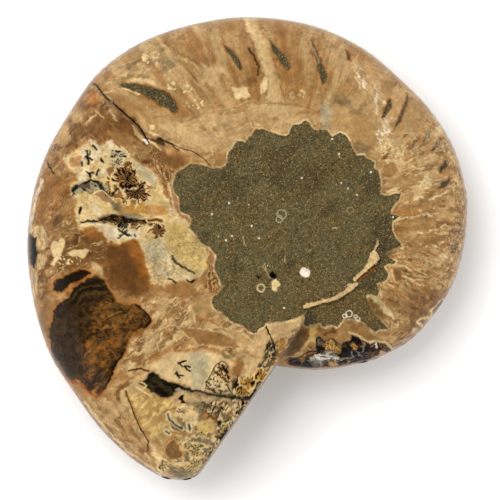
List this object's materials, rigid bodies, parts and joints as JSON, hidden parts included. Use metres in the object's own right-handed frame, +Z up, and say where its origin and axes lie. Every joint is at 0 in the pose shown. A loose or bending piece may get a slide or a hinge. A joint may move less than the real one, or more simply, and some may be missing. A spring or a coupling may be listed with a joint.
{
  "type": "ammonite fossil",
  "caption": "Whole coiled ammonite fossil, polished on its flank, with a mudstone core, rounded rim and a straight cut aperture; lies flat.",
  "frame": {"origin": "centre of the outline, on the flat ring that the fossil lies on", "axes": "+Z up out of the polished flank, +Y from the aperture's tip to the top of the coil, +X to the side where the coil is narrowest"},
  "size_m": [0.11, 0.1158, 0.0254],
  "materials": {
    "fossil_stone": "polished"
  },
  "bodies": {
    "root": {"ammonite": "fossil_stone"}
  },
  "joints": []
}
